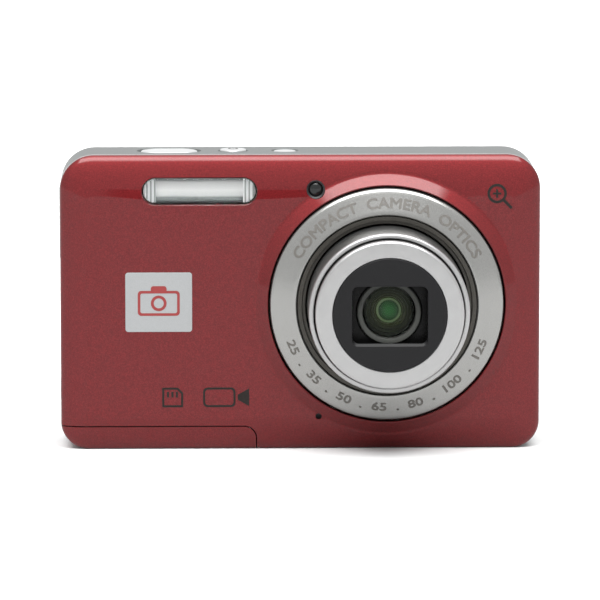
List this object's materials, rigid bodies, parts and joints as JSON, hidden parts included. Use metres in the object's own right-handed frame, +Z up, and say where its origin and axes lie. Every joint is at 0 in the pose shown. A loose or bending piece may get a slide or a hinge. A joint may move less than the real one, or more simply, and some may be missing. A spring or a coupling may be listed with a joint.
{
  "type": "compact digital camera",
  "caption": "Compact digital camera with an extending zoom lens, flash, rear screen, buttons and a battery door.",
  "frame": {"origin": "on the flat base, under the middle of the body's width and depth", "axes": "+X to the right of someone looking at the lens, the lens faces -Y, +Z up"},
  "size_m": [0.0916, 0.0365, 0.0569],
  "materials": {
    "red_shell": "satin",
    "grey_shell": "satin",
    "silver_metal": "satin",
    "dark_metal": "satin",
    "black_plastic": "satin",
    "lens_glass": "gloss",
    "clear_plastic": "gloss",
    "screen_glass": "gloss",
    "badge_silver": "satin",
    "circuit_board": "satin",
    "steel": "satin",
    "battery_wrap": "satin",
    "card_plastic": "satin",
    "button_plastic": "satin",
    "dark_button": "satin",
    "brass": "satin"
  },
  "bodies": {
    "camera_body": {"front_cover": "red_shell", "rear_cover": "grey_shell", "lens_ring": "silver_metal", "af_lamp": "lens_glass", "lens_housing": "black_plastic", "sensor_plate": "dark_metal", "image_sensor": "black_plastic", "zoom_motor": "steel", "flash_window": "clear_plastic", "flash_reflector": "silver_metal", "flash_tube": "clear_plastic", "badge_plate": "badge_silver", "microphone": "black_plastic", "speaker": "black_plastic", "lcd_window": "screen_glass", "lcd_module": "black_plastic", "status_lamp": "clear_plastic", "main_board": "circuit_board", "flash_capacitor": "black_plastic", "usb_socket": "steel", "battery": "battery_wrap", "battery_holder": "black_plastic", "battery_contacts": "brass", "memory_card": "card_plastic", "card_socket": "steel", "strap_lug": "steel", "tripod_socket": "steel", "hinge_pin": "steel", "cover_screw_1": "steel", "cover_screw_2": "steel", "cover_screw_3": "steel", "cover_screw_4": "steel", "cover_screw_5": "steel"},
    "cam_barrel": {"cam_barrel": "dark_metal"},
    "outer_barrel": {"outer_barrel": "silver_metal"},
    "inner_barrel": {"inner_barrel": "silver_metal", "front_ring": "silver_metal", "front_plate": "black_plastic", "lens_cell": "black_plastic", "front_lens": "lens_glass", "iris_ring": "black_plastic", "inner_lens": "lens_glass"},
    "upper_blade": {"upper_blade": "black_plastic"},
    "lower_blade": {"lower_blade": "black_plastic"},
    "focus_lens": {"focus_lens": "lens_glass"},
    "shutter_button": {"shutter_button": "button_plastic"},
    "power_button": {"power_button": "button_plastic"},
    "scene_button": {"scene_button": "button_plastic"},
    "zoom_rocker": {"zoom_rocker": "dark_button"},
    "direction_pad": {"direction_pad": "dark_button"},
    "set_button": {"set_button": "dark_button"},
    "menu_button": {"menu_button": "dark_button"},
    "play_button": {"play_button": "dark_button"},
    "info_button": {"info_button": "dark_button"},
    "delete_button": {"delete_button": "dark_button"},
    "record_button": {"record_button": "dark_button"},
    "battery_door": {"battery_door": "red_shell"},
    "door_latch": {"door_latch": "dark_button"},
    "port_cover": {"port_cover": "grey_shell"}
  },
  "joints": [
    {"name": "lens_extend", "type": "slide", "parent": "camera_body", "child": "outer_barrel", "axis": [0, -1, 0], "range_m": [-0.0112, 0]},
    {"name": "cam_turn", "type": "hinge", "parent": "camera_body", "child": "cam_barrel", "pos_m": [0.0164, 0, 0.0282], "axis": [0, 1, 0], "range_deg": [-70.5, 0.5]},
    {"name": "lens_zoom", "type": "slide", "parent": "outer_barrel", "child": "inner_barrel", "axis": [0, -1, 0], "range_m": [-0.0024, 0.0065]},
    {"name": "upper_blade_slide", "type": "slide", "parent": "inner_barrel", "child": "upper_blade", "axis": [0, 0, -1], "range_m": [0, 0.00546]},
    {"name": "lower_blade_slide", "type": "slide", "parent": "inner_barrel", "child": "lower_blade", "axis": [0, 0, 1], "range_m": [0, 0.00546]},
    {"name": "focus_travel", "type": "slide", "parent": "camera_body", "child": "focus_lens", "axis": [0, -1, 0], "range_m": [-0.0005, 0.0005]},
    {"name": "shutter_press", "type": "slide", "parent": "camera_body", "child": "shutter_button", "axis": [0, 0, -1], "range_m": [0, 0.0008], "stiffness_N_per_m": 600},
    {"name": "power_press", "type": "slide", "parent": "camera_body", "child": "power_button", "axis": [0, 0, -1], "range_m": [0, 0.0005], "stiffness_N_per_m": 800},
    {"name": "scene_press", "type": "slide", "parent": "camera_body", "child": "scene_button", "axis": [0, 0, -1], "range_m": [0, 0.0005], "stiffness_N_per_m": 800},
    {"name": "set_press", "type": "slide", "parent": "camera_body", "child": "set_button", "axis": [0, -1, 0], "range_m": [0, 0.0004], "stiffness_N_per_m": 1000},
    {"name": "menu_press", "type": "slide", "parent": "camera_body", "child": "menu_button", "axis": [0, -1, 0], "range_m": [0, 0.0004], "stiffness_N_per_m": 1000},
    {"name": "play_press", "type": "slide", "parent": "camera_body", "child": "play_button", "axis": [0, -1, 0], "range_m": [0, 0.0004], "stiffness_N_per_m": 1000},
    {"name": "info_press", "type": "slide", "parent": "camera_body", "child": "info_button", "axis": [0, -1, 0], "range_m": [0, 0.0004], "stiffness_N_per_m": 1000},
    {"name": "delete_press", "type": "slide", "parent": "camera_body", "child": "delete_button", "axis": [0, -1, 0], "range_m": [0, 0.0004], "stiffness_N_per_m": 1000},
    {"name": "record_press", "type": "slide", "parent": "camera_body", "child": "record_button", "axis": [0, -1, 0], "range_m": [0, 0.0004], "stiffness_N_per_m": 1000},
    {"name": "zoom_rock", "type": "hinge", "parent": "camera_body", "child": "zoom_rocker", "pos_m": [-0.0333, 0.0086, 0.0466], "axis": [0, 0, 1], "range_deg": [-3, 3], "stiffness_Nm_per_rad": 0.05},
    {"name": "pad_tilt", "type": "hinge", "parent": "camera_body", "child": "direction_pad", "pos_m": [-0.0308, 0.0086, 0.0235], "axis": [1, 0, 0], "range_deg": [-2, 2], "stiffness_Nm_per_rad": 0.08},
    {"name": "door_swing", "type": "hinge", "parent": "camera_body", "child": "battery_door", "pos_m": [-0.024, 0.005, 0.00105], "axis": [1, 0, 0], "range_deg": [0, 100]},
    {"name": "latch_slide", "type": "slide", "parent": "battery_door", "child": "door_latch", "axis": [1, 0, 0], "range_m": [0, 0.0022]},
    {"name": "port_swing", "type": "hinge", "parent": "camera_body", "child": "port_cover", "pos_m": [-0.046, 0.0015, 0.0361], "axis": [0, -1, 0], "range_deg": [0, 100]}
  ],
  "couplings": [
    {"joint": "cam_turn", "follows": "lens_extend", "rad_per_m": 109.08},
    {"joint": "upper_blade_slide", "follows": "lens_extend", "ratio": -0.4866},
    {"joint": "lower_blade_slide", "follows": "lens_extend", "ratio": -0.4866}
  ]
}
